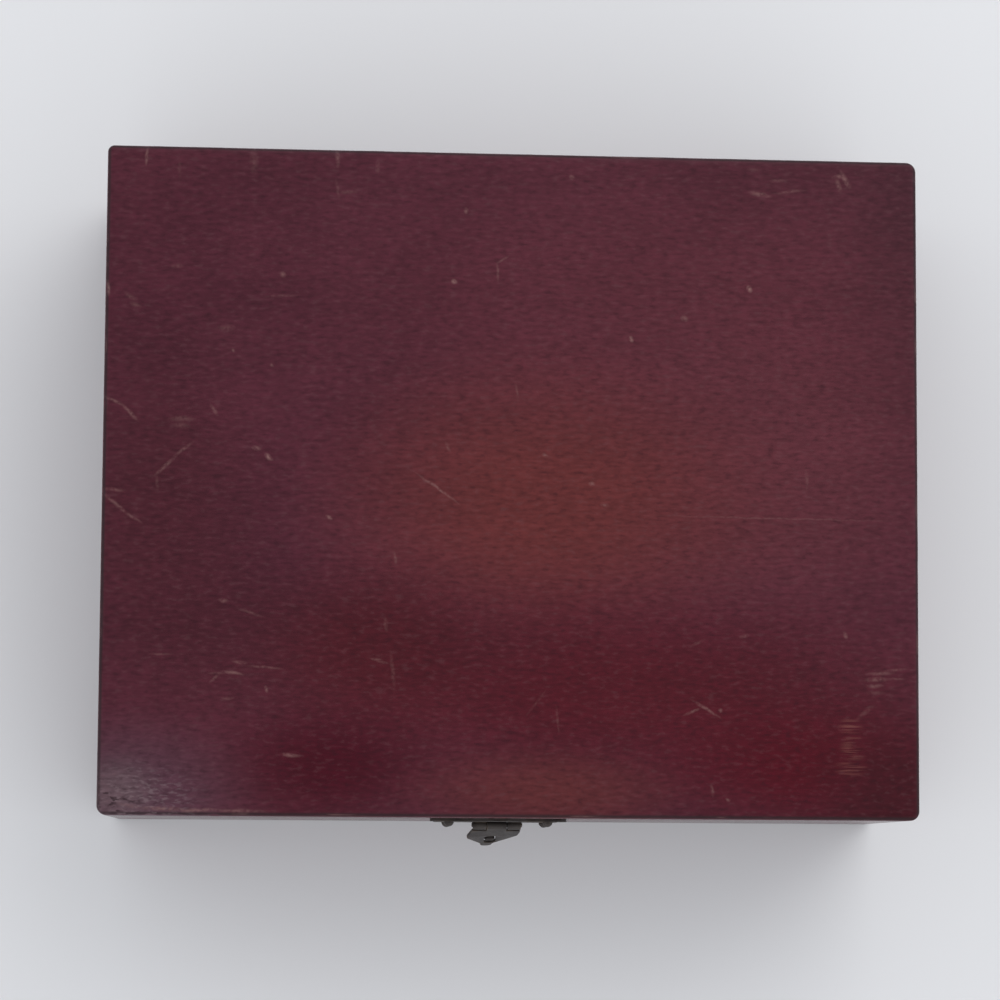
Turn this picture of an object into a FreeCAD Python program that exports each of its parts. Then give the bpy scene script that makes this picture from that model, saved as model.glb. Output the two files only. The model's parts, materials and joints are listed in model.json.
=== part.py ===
import FreeCAD, Part
import math
import os
from types import SimpleNamespace

import Sketcher

# A small wooden keepsake box with a hinged lid and a bronze hasp.
# Millimetres, +Z up, front of the box towards -Y, origin at the middle of the underside.

# Driving dimensions, one cell of the sheet each
SIZES = {
    # carcass and lid
    "box_width": 220,
    "box_depth": 180,
    "body_height": 46,
    "lid_height": 22,
    "wall": 9,
    "lip": 4,
    "top_thick": 7,
    "top_round": 1.6,
    "corner_round": 2.5,
    "edge_ease": 0.5,
    # bottom panel let into a rebate from below
    "bottom_thick": 4,
    "rebate": 4.5,
    "panel_gap": 0.3,
    # domed nails with square-cut shanks, the same for all the hardware
    "nail_head_r": 1.4,
    "nail_dome": 1.4,
    "nail_side": 1,
    "nail_length": 6,
    "nail_point": 1.5,
    "nail_clear": 0.03,
    "nail_hole_spare": 0.5,
    # running fits of the barrels
    "barrel_gap": 0.3,
    "knuckle_gap": 0.2,
    "pin_clear": 0.05,
    "pin_head": 0.4,
    "pin_head_rim": 0.3,
    # two hinges on the back
    "hinge_spread": 124,
    "hinge_width": 26,
    "hinge_height": 14,
    "hinge_sheet": 0.8,
    "hinge_barrel_r": 1.5,
    "hinge_pin_r": 0.7,
    "hinge_middle": 9,
    "hinge_round": 2.5,
    "hinge_nail_spread": 16,
    "hinge_nail_drop": 7.5,
    # hasp on the front: plate, tongue and their pin
    "hasp_shift": -2.7,
    "hasp_rise": 1.8,
    "hasp_sheet": 0.8,
    "hasp_barrel_r": 1.3,
    "hasp_pin_r": 0.5,
    "hasp_middle": 5.4,
    "plate_width": 37,
    "plate_wing": 7.5,
    "plate_height": 11,
    "plate_crest": 5,
    "plate_shoulder": 15,
    "plate_end_round": 3,
    "plate_scallop": 2.4,
    "plate_nail_spread": 26.8,
    "plate_nail_rise": 5.4,
    "tongue_width": 13,
    "tongue_flare": 0.6,
    "tongue_length": 15.4,
    "tongue_side": 7.2,
    "tongue_neck": 13.4,
    "tongue_tip": 3.2,
    "tongue_side_round": 2.2,
    "tongue_neck_round": 2.4,
    "tongue_tip_round": 1.4,
    "tongue_angle": 16,
    "tongue_lean": 2.4,
    "slot_width": 3.2,
    "slot_start": 6.5,
    "slot_length": 6.4,
    # keeper on the body: plate and turn knob
    "keeper_drop": 1,
    "keeper_width": 34,
    "keeper_wing": 8,
    "keeper_height": 13.4,
    "keeper_crest": 5,
    "keeper_shoulder": 13,
    "keeper_nail_spread": 26.8,
    "keeper_nail_drop": 4.2,
    "knob_reach": 9.6,
    "knob_length": 4.6,
    "knob_width": 2.8,
    "knob_thick": 1.1,
    "knob_neck_r": 0.9,
    "knob_clear": 0.05,
    "knob_lift": 0.2,
    "thumb_r": 1.35,
    "thumb_thick": 1.3,
    "thumb_bevel": 0.4,
    "collar_r": 2,
    "collar_thick": 0.6,
    "rivet_r": 1.7,
    "rivet_thick": 0.5,
    "rivet_gap": 0.1,
    "recess_clear": 0.4,
}
DOME_STEPS = 2
NEAR = 1e-4

doc = FreeCAD.newDocument("keepsake_box")
sheet = doc.addObject("Spreadsheet::Sheet", "Sizes")
for row, (name, number) in enumerate(SIZES.items(), start=1):
    sheet.set(f"A{row}", name.replace("_", " "))
    sheet.set(f"B{row}", str(number))
    sheet.setAlias(f"B{row}", name)
doc.recompute()


class Size:
    """A length worked out from the sheet's cells: its formula and its present value."""

    def __init__(self, formula, value):
        self.formula = formula
        self.value = value

    def __add__(self, other):
        return Size(f"({self.formula} + {formula_of(other)})", self.value + value_of(other))

    def __sub__(self, other):
        return Size(f"({self.formula} - {formula_of(other)})", self.value - value_of(other))

    def __mul__(self, other):
        return Size(f"({self.formula} * {formula_of(other)})", self.value * value_of(other))

    def __truediv__(self, other):
        return Size(f"({self.formula} / {formula_of(other)})", self.value / value_of(other))

    def __neg__(self):
        return Size(f"(0 - {self.formula})", -self.value)


def formula_of(length):
    return length.formula if isinstance(length, Size) else str(length)


def value_of(length):
    return length.value if isinstance(length, Size) else length


size = SimpleNamespace(**{name: Size(f"Sizes.{name}", number) for name, number in SIZES.items()})
parts = []


# Bodies, sketches and features

def new_body(label):
    body = doc.addObject("PartDesign::Body", label)
    body.Label = label
    body.AllowCompound = True
    parts.append(body)
    return body


def bind(item, path, length):
    item.setExpression(path, formula_of(length))


def place(body, x=0, y=0, z=0, axis=(0, 0, 1), turn=0):
    """Put a body at a point and turn it about an axis through its own origin."""
    rotation = FreeCAD.Rotation(FreeCAD.Vector(*axis), value_of(turn))
    body.Placement = FreeCAD.Placement(FreeCAD.Vector(), rotation)
    for name, length in zip("xyz", (x, y, z)):
        bind(body, f"Placement.Base.{name}", length)
    if isinstance(turn, Size):
        bind(body, "Placement.Rotation.Angle", turn)


def origin_plane(body, plane):
    return next(f for f in body.Origin.OriginFeatures if f.Role == f"{plane}_Plane")


def sketch_on(body, plane, at=(0, 0, 0)):
    """A sketch on one of the body's own planes, shifted along the sketch's x, y and normal."""
    sketch = body.newObject("Sketcher::SketchObject", f"{body.Name}_sketch")
    sketch.AttachmentSupport = [(origin_plane(body, plane), "")]
    sketch.MapMode = "FlatFace"
    for name, length in zip("xyz", at):
        bind(sketch, f"AttachmentOffset.Base.{name}", length)
    return sketch


def hold(sketch, geometry, end, point):
    """Dimension one point of a sketch's geometry from the sketch's origin."""
    for kind, length in zip(("DistanceX", "DistanceY"), point):
        index = sketch.addConstraint(Sketcher.Constraint(kind, -1, 1, geometry, end, value_of(length)))
        bind(sketch, f"Constraints[{index}]", length)


def set_radius(sketch, geometry, radius):
    index = sketch.addConstraint(Sketcher.Constraint("Radius", geometry, value_of(radius)))
    bind(sketch, f"Constraints[{index}]", radius)


def polygon(sketch, points):
    """A closed outline of straight lines, with every corner dimensioned."""
    spots = [FreeCAD.Vector(value_of(x), value_of(y), 0) for x, y in points]
    lines = [sketch.addGeometry(Part.LineSegment(a, b)) for a, b in zip(spots, spots[1:] + spots[:1])]
    for first, second in zip(lines, lines[1:] + lines[:1]):
        sketch.addConstraint(Sketcher.Constraint("Coincident", first, 2, second, 1))
    for line, point in zip(lines, points):
        hold(sketch, line, 1, point)


def both_sides(right):
    """A symmetrical outline from its right half, listed from bottom to top."""
    return right + [(-x, y) for x, y in reversed(right)]


def rectangle(sketch, half_width, low, high):
    polygon(sketch, both_sides([(half_width, low), (half_width, high)]))


def circle(sketch, x, y, radius):
    centre = FreeCAD.Vector(value_of(x), value_of(y), 0)
    ring = sketch.addGeometry(Part.Circle(centre, FreeCAD.Vector(0, 0, 1), value_of(radius)))
    hold(sketch, ring, 3, (x, y))
    set_radius(sketch, ring, radius)


def stadium(sketch, middle, half_length, radius):
    """An upright slot with round ends, about a middle on the sketch's vertical axis."""
    straight = half_length - radius
    up = FreeCAD.Vector(0, 0, 1)
    heights = (straight + middle, middle - straight)
    turns = ((0, math.pi), (math.pi, 2 * math.pi))
    arcs = []
    for height, (start, end) in zip(heights, turns):
        round_end = Part.Circle(FreeCAD.Vector(0, value_of(height), 0), up, value_of(radius))
        arcs.append(sketch.addGeometry(Part.ArcOfCircle(round_end, start, end)))
    lines = []
    for side in (-1, 1):
        ends = [FreeCAD.Vector(side * value_of(radius), value_of(height), 0) for height in heights]
        lines.append(sketch.addGeometry(Part.LineSegment(*(ends if side < 0 else reversed(ends)))))
    loop = (arcs[0], lines[0], arcs[1], lines[1], arcs[0])
    for first, second in zip(loop, loop[1:]):
        sketch.addConstraint(Sketcher.Constraint("Tangent", first, 2, second, 1))
    for arc, height in zip(arcs, heights):
        hold(sketch, arc, 3, (0, height))
    sketch.addConstraint(Sketcher.Constraint("Vertical", lines[0]))
    set_radius(sketch, arcs[0], radius)


def pad(body, sketch, length):
    feature = body.newObject("PartDesign::Pad", f"{body.Name}_pad")
    feature.Profile = sketch
    bind(feature, "Length", length)
    doc.recompute()
    return feature


def pocket(body, sketch, depth=None):
    """Cut inwards from the sketch to a depth, or through the body both ways."""
    before = body.Shape.Volume
    feature = body.newObject("PartDesign::Pocket", f"{body.Name}_pocket")
    feature.Profile = sketch
    if depth is None:
        feature.Type = "ThroughAll"
        feature.SideType = "Symmetric"
    else:
        bind(feature, "Length", depth)
    doc.recompute()
    if not body.Shape.Volume < before:
        raise RuntimeError(f"{feature.Name} cuts nothing")
    return feature


def revolve(body, sketch, axis):
    feature = body.newObject("PartDesign::Revolution", f"{body.Name}_turn")
    feature.Profile = sketch
    feature.ReferenceAxis = (sketch, [axis])
    feature.Angle = 360
    doc.recompute()
    return feature


def edges_at(body, along, spots):
    """Names of the straight edges that run along one axis through spots on the other two."""
    across = [name for name in "xyz" if name != along]
    wanted = [[value_of(length) for length in spot] for spot in spots]
    names = []
    for number, edge in enumerate(body.Tip.Shape.Edges, start=1):
        ends = [[getattr(vertex.Point, name) for name in across] for vertex in edge.Vertexes]
        for spot in wanted:
            if all(abs(a - b) < NEAR for end in ends for a, b in zip(end, spot)):
                names.append(f"Edge{number}")
    if len(names) < len(spots):
        raise RuntimeError(f"{body.Label} has no edge at one of its spots")
    return names


def soften(body, kind, edges, amount):
    """Round (Fillet) or bevel (Chamfer) edges of the body as it stands."""
    base = body.Tip
    feature = body.newObject(f"PartDesign::{kind}", f"{body.Name}_{kind.lower()}")
    feature.Base = (base, edges)
    bind(feature, "Radius" if kind == "Fillet" else "Size", amount)
    doc.recompute()
    return feature


def nail_holes(body, spots, depth=None):
    """Square holes for nails from the face towards -y, to a depth in a board or through a sheet."""
    face = sketch_on(body, "XZ")
    half = size.nail_side / 2 + size.nail_clear
    for x, z in spots:
        corners = ((1, -1), (1, 1), (-1, 1), (-1, -1))
        polygon(face, [(x + half * right, z + half * up) for right, up in corners])
    pocket(body, face, depth)


def round_hole(body, x, z, radius, depth=None):
    face = sketch_on(body, "XZ")
    circle(face, x, z, radius)
    pocket(body, face, depth)


# Carcass boards, each drawn with x along it, y inwards from its outer face and z up from below

def long_board(label, height):
    """Front or back board, rabbeted at both ends to take the side boards."""
    body = new_body(label)
    half = size.box_width / 2
    shoulder = half - size.wall
    plan = sketch_on(body, "XY")
    polygon(plan, both_sides([(half, 0), (half, size.lip), (shoulder, size.lip), (shoulder, size.wall)]))
    pad(body, plan, height)
    soften(body, "Fillet", edges_at(body, "z", [(half, 0), (-half, 0)]), size.corner_round)
    return body


def short_board(label, height):
    """Side board, plain, standing between the lips of the front and back boards."""
    body = new_body(label)
    half = size.box_depth / 2 - size.lip
    plan = sketch_on(body, "XY")
    rectangle(plan, half, 0, size.wall)
    pad(body, plan, height)
    return body


def ease_outer_edges(body, heights):
    soften(body, "Chamfer", edges_at(body, "x", [(0, height) for height in heights]), size.edge_ease)


def rebate_for_bottom(body):
    """Step along the lower inner edge, as deep as the bottom panel is thick."""
    section = sketch_on(body, "YZ")
    deep = size.wall - size.rebate
    step = size.bottom_thick
    polygon(section, [(deep, 0), (size.wall, 0), (size.wall, step), (deep, step)])
    pocket(body, section)


def stand_boards(front, back, left, right, base):
    """Turn and move four boards drawn flat into their places round the box."""
    place(front, y=-size.box_depth / 2, z=base)
    place(back, y=size.box_depth / 2, z=base, turn=180)
    place(left, x=-size.box_width / 2, z=base, turn=-90)
    place(right, x=size.box_width / 2, z=base, turn=90)


seam = size.body_height
rail_height = size.lid_height - size.top_thick
hasp_axis = seam + size.hasp_rise
hasp_stand = size.hasp_barrel_r + size.barrel_gap
hinge_stand = size.hinge_barrel_r + size.barrel_gap
knob_height = hasp_axis - size.knob_reach
keeper_top = seam - size.keeper_drop
tongue_slant = size.tongue_lean / (size.tongue_length - hasp_stand)
knob_shift = tongue_slant * (hasp_stand - size.knob_reach)
nail_hole_depth = size.nail_length + size.nail_hole_spare

hinge_nails = [size.hinge_spread / 2 + size.hinge_nail_spread * side for side in (-0.5, 0.5)]
plate_nail_height = hasp_axis + size.plate_nail_rise
keeper_nail_height = keeper_top - size.keeper_nail_drop


def across_box(offsets, z):
    return [(x, z) for offset in offsets for x in (offset, -offset)]


def about_hasp(spread, z):
    return [(size.hasp_shift + spread * side, z) for side in (-0.5, 0.5)]


def body_boards():
    boards = [
        long_board("body_front_wall", size.body_height),
        long_board("body_back_wall", size.body_height),
        short_board("body_left_wall", size.body_height),
        short_board("body_right_wall", size.body_height),
    ]
    for board in boards:
        ease_outer_edges(board, (0, size.body_height))
        rebate_for_bottom(board)
    front, back = boards[:2]
    nail_holes(front, about_hasp(size.keeper_nail_spread, keeper_nail_height), nail_hole_depth)
    recess_depth = size.rivet_gap + size.rivet_thick + size.recess_clear
    knob_x = size.hasp_shift + knob_shift
    round_hole(front, knob_x, knob_height, size.rivet_r + size.recess_clear, recess_depth)
    nail_holes(back, across_box(hinge_nails, seam - size.hinge_nail_drop), nail_hole_depth)
    stand_boards(*boards, base=0)


def lid_boards():
    boards = [
        long_board("lid_front_rail", rail_height),
        long_board("lid_back_rail", rail_height),
        short_board("lid_left_rail", rail_height),
        short_board("lid_right_rail", rail_height),
    ]
    for board in boards:
        ease_outer_edges(board, (0,))
    front, back = boards[:2]
    nail_holes(front, about_hasp(size.plate_nail_spread, plate_nail_height - seam), nail_hole_depth)
    nail_holes(back, across_box(hinge_nails, size.hinge_nail_drop), nail_hole_depth)
    stand_boards(*boards, base=seam)


def lid_top_panel():
    """Flat board glued over the four rails, its top edges and corners rounded by hand and wear."""
    body = new_body("lid_top_panel")
    half_width = size.box_width / 2
    half_depth = size.box_depth / 2
    plan = sketch_on(body, "XY")
    rectangle(plan, half_width, -half_depth, half_depth)
    pad(body, plan, size.top_thick)
    corners = [(x, y) for x in (half_width, -half_width) for y in (half_depth, -half_depth)]
    soften(body, "Fillet", edges_at(body, "z", corners), size.corner_round)
    soften(body, "Fillet", edges_at(body, "x", [(-half_depth, size.top_thick)]), size.top_round)
    place(body, z=seam + rail_height)


def body_bottom_panel():
    """Thin board glued up into the rebates of the four walls, flush with their lower edges."""
    body = new_body("body_bottom_panel")
    margin = size.wall - size.rebate + size.panel_gap
    plan = sketch_on(body, "XY")
    half_depth = size.box_depth / 2 - margin
    rectangle(plan, size.box_width / 2 - margin, -half_depth, half_depth)
    pad(body, plan, size.bottom_thick)


# Hardware, each piece drawn with the wood behind it towards +y and the open air towards -y

def dome_section(seat):
    """Half of a nail's head in section: a quarter of an ellipse in a few straight steps."""
    turns = [math.pi / 2 * step / DOME_STEPS for step in range(DOME_STEPS)]
    head_r, dome = size.nail_head_r, size.nail_dome
    curve = [(head_r * math.cos(turn), -seat - dome * math.sin(turn)) for turn in turns]
    return curve + [(0, -seat - dome), (0, -seat)]


def shank_side(seat):
    """A nail's square shank seen along x: straight, then drawn to a chisel point."""
    half = size.nail_side / 2
    shaft = size.nail_length - size.nail_point
    return [(-seat, -half), (shaft, -half), (size.nail_length, 0), (shaft, half), (-seat, half)]


def nails(label, right_spots, seat):
    """Domed nails through a sheet, drawn on the right and mirrored to the left."""
    body = new_body(label)
    made = []
    for x, z in right_spots:
        head = sketch_on(body, "XY", at=(x, 0, z))
        polygon(head, dome_section(seat))
        made.append(revolve(body, head, "V_Axis"))
        shank = sketch_on(body, "YZ", at=(0, z, x - size.nail_side / 2))
        polygon(shank, shank_side(seat))
        made.append(pad(body, shank, size.nail_side))
    mirror = body.newObject("PartDesign::Mirrored", f"{label}_mirror")
    mirror.Originals = made
    mirror.MirrorPlane = (origin_plane(body, "YZ"), [""])
    body.Tip = mirror
    doc.recompute()
    return body


def barrel(body, start, length, radius):
    """One knuckle round the x axis."""
    ring = sketch_on(body, "YZ", at=(0, 0, start))
    circle(ring, 0, 0, radius)
    pad(body, ring, length)


def knuckle_neck(body, start, length, radius, stand, sheet_thick, way):
    """The bend of sheet that joins a knuckle to its plate, which lies up (way 1) or down (way -1)."""
    bend = sketch_on(body, "YZ", at=(0, 0, start))
    edge = stand * way
    polygon(bend, [(stand, edge), (stand, radius * (way / 2)), (0, 0), (stand - sheet_thick, edge)])
    pad(body, bend, length)


def bore_for_pin(body, pin_r):
    bore = sketch_on(body, "YZ")
    circle(bore, 0, 0, pin_r + size.pin_clear)
    pocket(body, bore)


def outer_spans(length, middle):
    """Start and length of the two outer knuckles of a three-knuckle barrel."""
    inner = middle / 2 + size.knuckle_gap
    return [(inner, length / 2 - inner), (-length / 2, length / 2 - inner)]


def hinge_leaf(label, way, spans):
    body = new_body(label)
    half = size.hinge_width / 2
    near = hinge_stand * way
    far = size.hinge_height * way
    face = sketch_on(body, "XZ", at=(0, 0, -hinge_stand))
    rectangle(face, half, near, far)
    pad(body, face, size.hinge_sheet)
    soften(body, "Fillet", edges_at(body, "y", [(half, far), (-half, far)]), size.hinge_round)
    for start, length in spans:
        barrel(body, start, length, size.hinge_barrel_r)
        knuckle_neck(body, start, length, size.hinge_barrel_r, hinge_stand, size.hinge_sheet, way)
    bore_for_pin(body, size.hinge_pin_r)
    nail_holes(body, [(size.hinge_nail_spread * side, size.hinge_nail_drop * way) for side in (-0.5, 0.5)])
    return body


def pin(label, length, pin_r):
    """A pin along x with bevelled heads that keep it in its barrel."""
    body = new_body(label)
    half = sketch_on(body, "XY")
    end = length / 2
    tip = end + size.pin_head
    rim = pin_r + size.pin_head_rim
    right = [(end, pin_r), (end, rim), (tip, pin_r), (tip, 0)]
    polygon(half, [(-x, y) for x, y in reversed(right)] + right)
    revolve(body, half, "H_Axis")
    return body


def hinges():
    """Two surface hinges on the back: the body's leaf holds the pin, the lid's leaf turns on it."""
    back = size.box_depth / 2 + hinge_stand
    middle_span = [(-size.hinge_middle / 2, size.hinge_middle)]
    for side, x in (("left", -size.hinge_spread / 2), ("right", size.hinge_spread / 2)):
        pieces = [
            hinge_leaf(f"hinge_{side}_body_leaf", -1, outer_spans(size.hinge_width, size.hinge_middle)),
            hinge_leaf(f"hinge_{side}_lid_leaf", 1, middle_span),
            pin(f"hinge_{side}_pin", size.hinge_width, size.hinge_pin_r),
        ]
        for piece in pieces:
            place(piece, x=x, y=back, z=seam, turn=180)
    for label, way in (("hinge_body_nails", -1), ("hinge_lid_nails", 1)):
        spots = [(x, size.hinge_nail_drop * way) for x in hinge_nails]
        place(nails(label, spots, size.hinge_sheet), y=size.box_depth / 2, z=seam, turn=180)


def winged_plate(body, stand, near, way, half, wing, height, crest, shoulder):
    """A sheet with two rounded wings and a crest between scalloped shoulders, up or down."""
    wing_edge = wing * way + near
    crest_edge = height * way + near
    face = sketch_on(body, "XZ", at=(0, 0, -stand))
    right = [(half, near), (half, wing_edge), (shoulder / 2, wing_edge), (crest / 2, crest_edge)]
    polygon(face, both_sides(right))
    pad(body, face, size.hasp_sheet)
    corners = [(x, wing_edge) for x in (half, -half)] + [(x, near) for x in (half, -half)]
    soften(body, "Fillet", edges_at(body, "y", corners), size.plate_end_round)
    curves = [(x, wing_edge) for x in (shoulder / 2, -shoulder / 2)]
    curves += [(x, crest_edge) for x in (crest / 2, -crest / 2)]
    soften(body, "Fillet", edges_at(body, "y", curves), size.plate_scallop)


def hasp_plate():
    """Plate nailed to the lid, with the two outer knuckles of the hasp's barrel."""
    body = new_body("hasp_plate")
    winged_plate(body, hasp_stand, hasp_stand, 1, size.plate_width / 2, size.plate_wing,
                 size.plate_height, size.plate_crest, size.plate_shoulder)
    for start, length in outer_spans(size.tongue_width, size.hasp_middle):
        barrel(body, start, length, size.hasp_barrel_r)
        knuckle_neck(body, start, length, size.hasp_barrel_r, hasp_stand, size.hasp_sheet, 1)
    bore_for_pin(body, size.hasp_pin_r)
    nail_holes(body, [(size.plate_nail_spread * side, size.plate_nail_rise) for side in (-0.5, 0.5)])
    return body


def hang_askew(points):
    """Points of the tongue, ever further to the left the lower they are below its shoulders."""
    return [(tongue_slant * (z + hasp_stand) + x, z) for x, z in points]


def hasp_tongue():
    """Tongue that hangs askew from the plate's barrel by its middle knuckle, with a slot for the knob."""
    body = new_body("hasp_tongue")
    strap = size.hasp_middle / 2
    half = size.tongue_width / 2
    flare = half + size.tongue_flare
    tip = size.tongue_tip / 2
    inside = size.hasp_barrel_r - size.hasp_sheet
    right = [(strap, -hasp_stand), (half, -hasp_stand), (flare, -size.tongue_side)]
    right += [(tip, -size.tongue_neck), (tip, -size.tongue_length)]
    face = sketch_on(body, "XZ", at=(0, 0, inside))
    polygon(face, [(strap, 0)] + hang_askew(both_sides(right)) + [(-strap, 0)])
    pad(body, face, size.hasp_sheet)
    rounds = (
        (flare, -size.tongue_side, size.tongue_side_round),
        (tip, -size.tongue_neck, size.tongue_neck_round),
        (tip, -size.tongue_length, size.tongue_tip_round),
    )
    for x, z, radius in rounds:
        soften(body, "Fillet", edges_at(body, "y", hang_askew([(x, z), (-x, z)])), radius)
    barrel(body, -strap, size.hasp_middle, size.hasp_barrel_r)
    bore_for_pin(body, size.hasp_pin_r)
    slot = sketch_on(body, "XZ", at=(knob_shift, 0, 0))
    half_slot = size.slot_length / 2
    stadium(slot, -size.slot_start - half_slot, half_slot, size.slot_width / 2)
    pocket(body, slot)
    return body


def keeper_plate():
    """Plate nailed to the front wall below the seam, pierced for the knob's neck."""
    body = new_body("keeper_plate")
    winged_plate(body, 0, 0, -1, size.keeper_width / 2, size.keeper_wing, size.keeper_height,
                 size.keeper_crest, size.keeper_shoulder)
    nail_holes(body, [(size.keeper_nail_spread * side, -size.keeper_nail_drop) for side in (-0.5, 0.5)])
    round_hole(body, knob_shift, knob_height - keeper_top, size.knob_neck_r + size.knob_clear)
    return body


def turn_knob():
    """Knob riveted loosely through the keeper: rivet head, neck, collar, a long head and a thumb button."""
    body = new_body("turn_knob")
    rivet_face = size.rivet_gap
    rivet_back = rivet_face + size.rivet_thick
    collar_face = -size.hasp_sheet - size.collar_thick
    head_back = -(hasp_stand + size.hasp_barrel_r + size.knob_lift)
    head_front = head_back - size.knob_thick
    thumb_front = head_front - size.thumb_thick
    half = sketch_on(body, "XY")
    polygon(half, [
        (0, rivet_back),
        (size.rivet_r, rivet_back),
        (size.rivet_r, rivet_face),
        (size.knob_neck_r, rivet_face),
        (size.knob_neck_r, -size.hasp_sheet),
        (size.collar_r, -size.hasp_sheet),
        (size.collar_r, collar_face),
        (size.knob_neck_r, collar_face),
        (size.knob_neck_r, head_front),
        (size.thumb_r, head_front),
        (size.thumb_r, thumb_front + size.thumb_bevel),
        (size.thumb_r - size.thumb_bevel, thumb_front),
        (0, thumb_front),
    ])
    revolve(body, half, "V_Axis")
    head = sketch_on(body, "XZ", at=(0, 0, -head_back))
    stadium(head, Size("0", 0), size.knob_length / 2, size.knob_width / 2)
    pad(body, head, size.knob_thick)
    return body


def hasp():
    """The latch on the front: lid plate, tongue hanging a little open, its pin, keeper and knob."""
    front = -size.box_depth / 2
    x = size.hasp_shift
    axis_y = front - hasp_stand
    place(hasp_plate(), x=x, y=axis_y, z=hasp_axis)
    place(pin("hasp_pin", size.tongue_width, size.hasp_pin_r), x=x, y=axis_y, z=hasp_axis)
    place(hasp_tongue(), x=x, y=axis_y, z=hasp_axis, axis=(-1, 0, 0), turn=size.tongue_angle)
    plate_spots = [(size.plate_nail_spread / 2, size.plate_nail_rise)]
    place(nails("hasp_plate_nails", plate_spots, size.hasp_sheet), x=x, y=front, z=hasp_axis)
    place(keeper_plate(), x=x, y=front, z=keeper_top)
    keeper_spots = [(size.keeper_nail_spread / 2, -size.keeper_nail_drop)]
    place(nails("keeper_nails", keeper_spots, size.hasp_sheet), x=x, y=front, z=keeper_top)
    place(turn_knob(), x=x + knob_shift, y=front, z=knob_height)


body_boards()
body_bottom_panel()
lid_boards()
lid_top_panel()
hinges()
hasp()
doc.recompute()

# Nothing is written unless every object and every solid is sound
failed = [item.Name for item in doc.Objects if {"Invalid", "Error"} & set(item.State)]
if failed:
    raise RuntimeError(f"failed objects: {failed}")
for body in parts:
    if body.Shape.isNull() or not body.Shape.isValid() or not body.Shape.Solids:
        raise RuntimeError(f"{body.Label} has no valid solid")

os.makedirs("parts", exist_ok=True)
for body in parts:
    body.Shape.exportStep(f"parts/{body.Label}.step")
    print(f"{body.Label}: {len(body.Shape.Solids)} solid(s), {body.Shape.Volume:.1f} mm3")
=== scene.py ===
import json
import math

import bmesh
import bpy
from mathutils import Euler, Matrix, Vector, noise


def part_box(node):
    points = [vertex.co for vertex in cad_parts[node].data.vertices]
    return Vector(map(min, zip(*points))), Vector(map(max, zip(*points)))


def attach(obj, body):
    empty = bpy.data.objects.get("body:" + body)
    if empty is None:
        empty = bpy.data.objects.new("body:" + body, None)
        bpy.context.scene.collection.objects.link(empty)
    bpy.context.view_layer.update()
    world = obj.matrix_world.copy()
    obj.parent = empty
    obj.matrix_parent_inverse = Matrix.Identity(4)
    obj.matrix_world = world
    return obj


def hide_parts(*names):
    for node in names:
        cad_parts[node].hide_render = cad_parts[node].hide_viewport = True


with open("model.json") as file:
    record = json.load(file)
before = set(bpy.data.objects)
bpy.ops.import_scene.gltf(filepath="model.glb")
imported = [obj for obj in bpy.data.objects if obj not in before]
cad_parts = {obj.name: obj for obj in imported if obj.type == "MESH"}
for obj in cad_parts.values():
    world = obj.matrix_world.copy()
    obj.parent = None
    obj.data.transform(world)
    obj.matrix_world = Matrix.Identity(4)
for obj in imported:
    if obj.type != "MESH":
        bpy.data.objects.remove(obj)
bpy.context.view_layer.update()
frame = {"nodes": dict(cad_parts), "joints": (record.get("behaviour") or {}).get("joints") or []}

# A small stained wooden box with a hinged lid and a dark bronze hasp, seen from above.
# Metres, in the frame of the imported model: +Z up, the front with the hasp towards -Y.

MM = 0.001
scene = bpy.context.scene

LID_LOW, LID_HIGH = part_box("lid_top_panel")
HALF = LID_HIGH.to_2d()
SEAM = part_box("lid_front_rail")[0].z
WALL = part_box("body_left_wall")[1].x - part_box("body_left_wall")[0].x
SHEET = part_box("keeper_plate")[1].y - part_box("keeper_plate")[0].y
JOINTS = {joint["name"]: joint for joint in frame["joints"]}


# Camera

PHOTO = 1000
LENS = 108
SENSOR = 36
RISE = 0.1
CAMERA_SPOT = Vector((-58.1, -103, 866)) * MM
CAMERA_TURN = Euler([math.radians(angle) for angle in (5.06, -3.94, 0.35)])


def set_camera():
    data = bpy.data.cameras.new("camera")
    data.lens = LENS
    data.sensor_width = SENSOR
    data.shift_y = RISE
    data.clip_start = 0.01
    camera = bpy.data.objects.new("camera", data)
    camera.location = CAMERA_SPOT
    camera.rotation_euler = CAMERA_TURN
    scene.collection.objects.link(camera)
    scene.camera = camera


def on_lid(pixel):
    """The point of the lid's top that a pixel of the photograph shows."""
    across = (pixel[0] / PHOTO - 0.5) * SENSOR / LENS
    up = (0.5 - pixel[1] / PHOTO + RISE) * SENSOR / LENS
    sight = CAMERA_TURN.to_matrix() @ Vector((across, up, -1))
    return CAMERA_SPOT + sight * ((LID_HIGH.z - CAMERA_SPOT.z) / sight.z)


# Materials

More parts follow.
